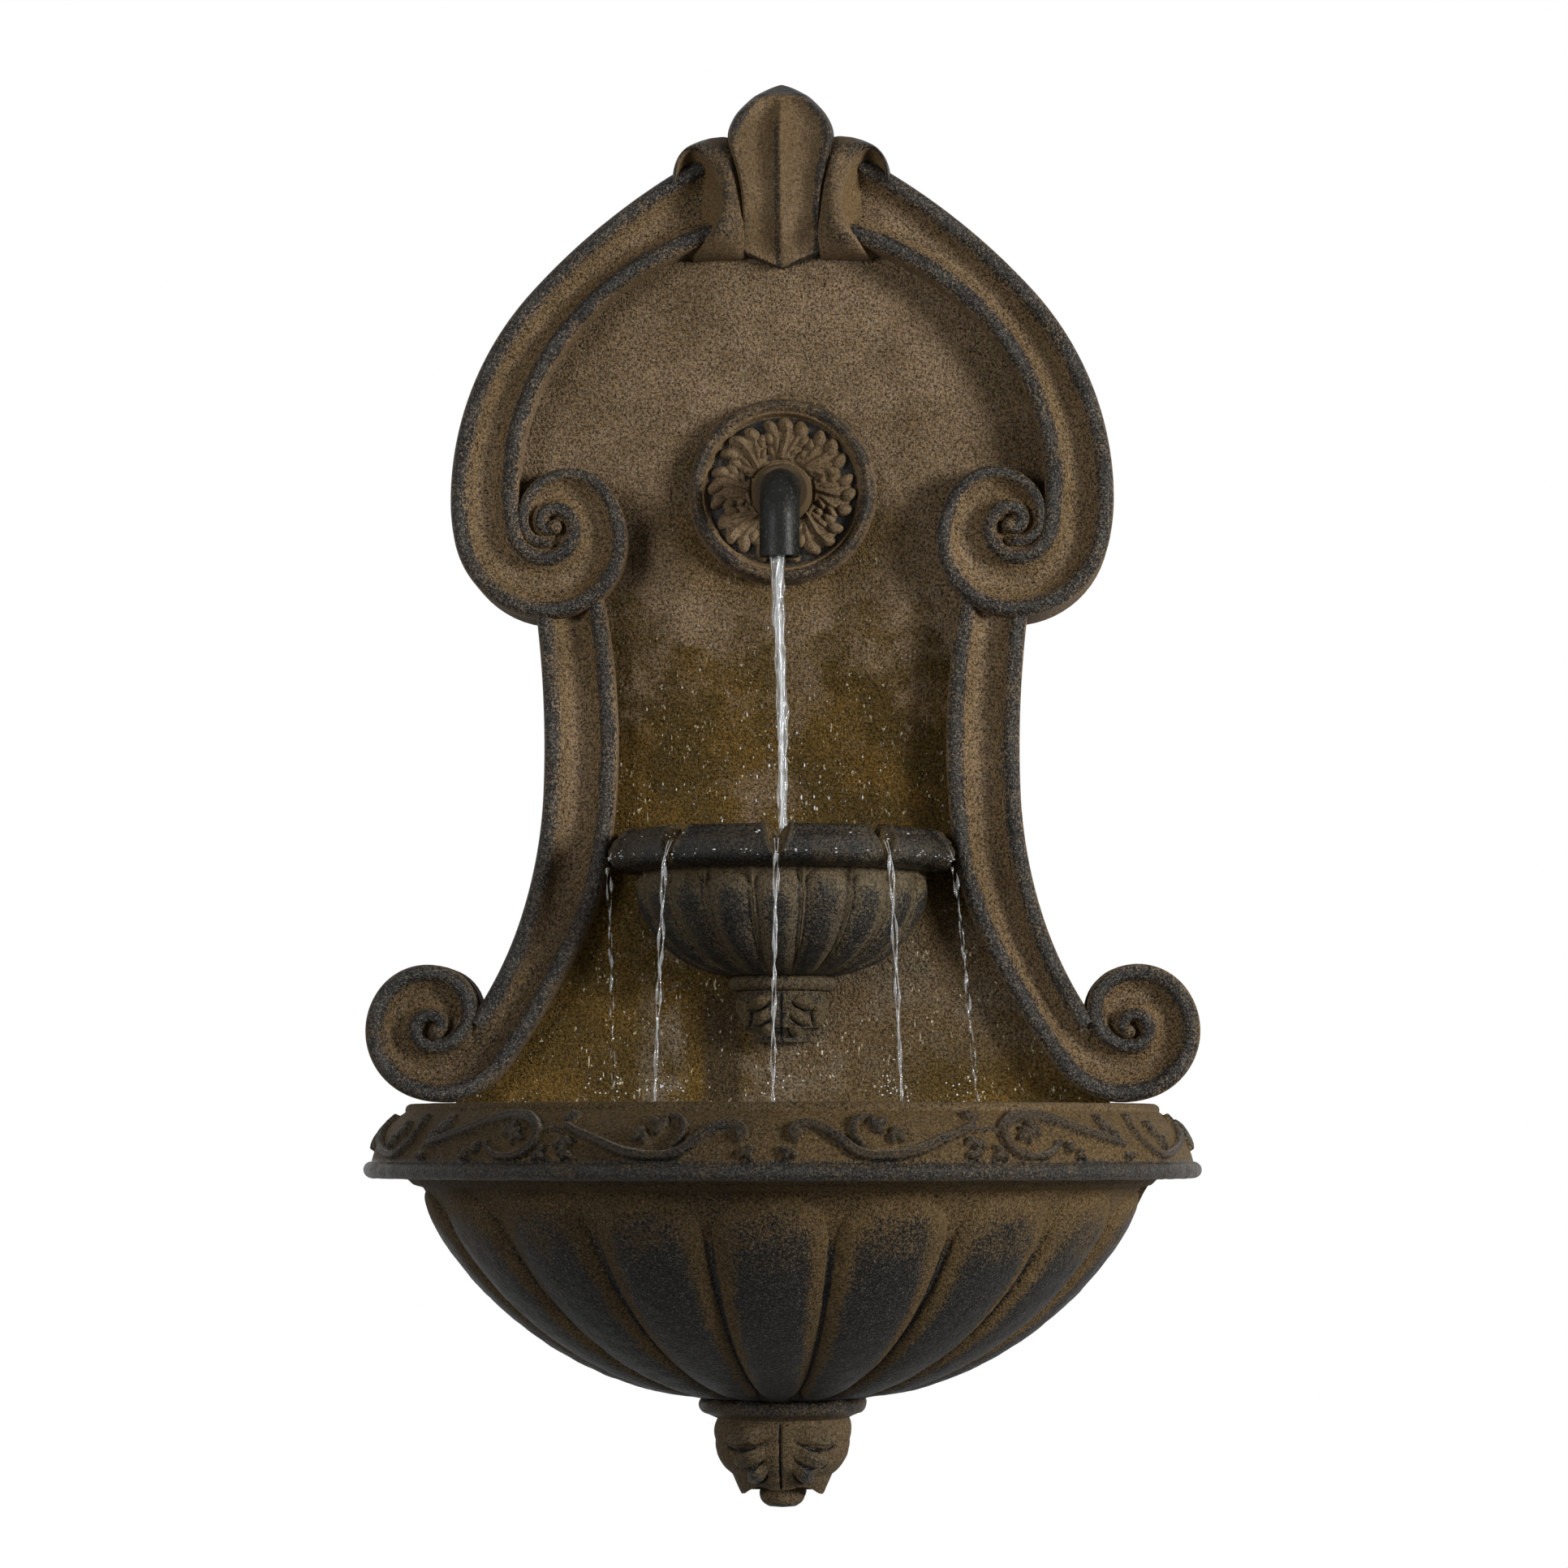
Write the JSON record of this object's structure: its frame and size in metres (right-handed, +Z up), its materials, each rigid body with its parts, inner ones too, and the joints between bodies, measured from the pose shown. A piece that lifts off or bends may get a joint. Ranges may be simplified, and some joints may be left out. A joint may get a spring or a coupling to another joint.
{
  "type": "garden wall fountain",
  "caption": "Wall-hung garden fountain with scrolled arched panel, bent spout, small lobed bowl and half-round basin that hides a pump.",
  "frame": {"origin": "midway between the round parts of the two keyholes, on the wall face", "axes": "+Z up along the tall panel, +Y into the wall, +X to the right as seen from the front"},
  "size_m": [0.504, 0.282, 0.8595],
  "materials": {
    "aged_bronze_resin": "cast resin with a grainy aged bronze finish, dark patina in and on the raised work",
    "spout_bronze": "dark bronze coat",
    "brass_fittings": "plain turned brass",
    "hose_vinyl": "black flexible hose",
    "rubber_seals": "soft black rubber",
    "pump_black": "moulded black plastic",
    "pump_light_plastic": "moulded grey plastic",
    "potting_resin": "cast sealing resin",
    "motor_steel": "laminated and ground steel",
    "cover_board": "dark moulded board",
    "zinc_hardware": "zinc-plated steel"
  },
  "bodies": {
    "fountain": {"backplate": "aged_bronze_resin", "basin": "aged_bronze_resin", "basin_bolts": "zinc_hardware", "basin_finial": "aged_bronze_resin", "basin_inserts": "brass_fittings", "basin_washers": "zinc_hardware", "corbel_screws": "zinc_hardware", "cord_grommet": "rubber_seals", "crown_curl_left": "aged_bronze_resin", "crown_curl_right": "aged_bronze_resin", "crown_leaf": "aged_bronze_resin", "finial_bolt": "zinc_hardware", "finial_insert": "brass_fittings", "finial_washer": "zinc_hardware", "hanger_plates": "zinc_hardware", "hanger_screws": "zinc_hardware", "hose_clamps": "zinc_hardware", "hose_clip_screws": "zinc_hardware", "hose_clips": "cover_board", "lower_scroll_left": "aged_bronze_resin", "lower_scroll_right": "aged_bronze_resin", "pump_body": "pump_black", "pump_cord_gland": "rubber_seals", "pump_feet": "rubber_seals", "pump_impeller_cover": "pump_black", "pump_potting": "potting_resin", "pump_shaft": "motor_steel", "pump_stator": "motor_steel", "rear_cover": "cover_board", "rear_cover_screws": "zinc_hardware", "rosette": "aged_bronze_resin", "spout_collar": "spout_bronze", "spout_gasket": "rubber_seals", "spout_lock_nut": "brass_fittings", "spout_pipe": "spout_bronze", "spout_tailpiece": "brass_fittings", "supply_hose": "hose_vinyl", "upper_bowl": "aged_bronze_resin", "upper_bowl_bolts": "zinc_hardware", "upper_bowl_inserts": "brass_fittings", "upper_bowl_washers": "zinc_hardware", "upper_corbel": "aged_bronze_resin", "upper_scroll_left": "aged_bronze_resin", "upper_scroll_right": "aged_bronze_resin"},
    "intake_cover": {"pump_intake_cover": "pump_black"},
    "flow_dial": {"pump_flow_dial": "pump_light_plastic"},
    "impeller": {"pump_impeller": "pump_light_plastic"}
  },
  "joints": [
    {"name": "impeller_spin", "type": "hinge", "parent": "fountain", "child": "impeller", "pos_m": [0, -0.07, -0.598], "axis": [0, 1, 0], "continuous": true},
    {"name": "intake_cover_slide", "type": "slide", "parent": "fountain", "child": "intake_cover", "axis": [0, -1, 0], "range_m": [0, 0.02]},
    {"name": "flow_dial_turn", "type": "hinge", "parent": "intake_cover", "child": "flow_dial", "pos_m": [0.014, -0.102, -0.586], "axis": [0, 1, 0], "range_deg": [0, 90]}
  ]
}
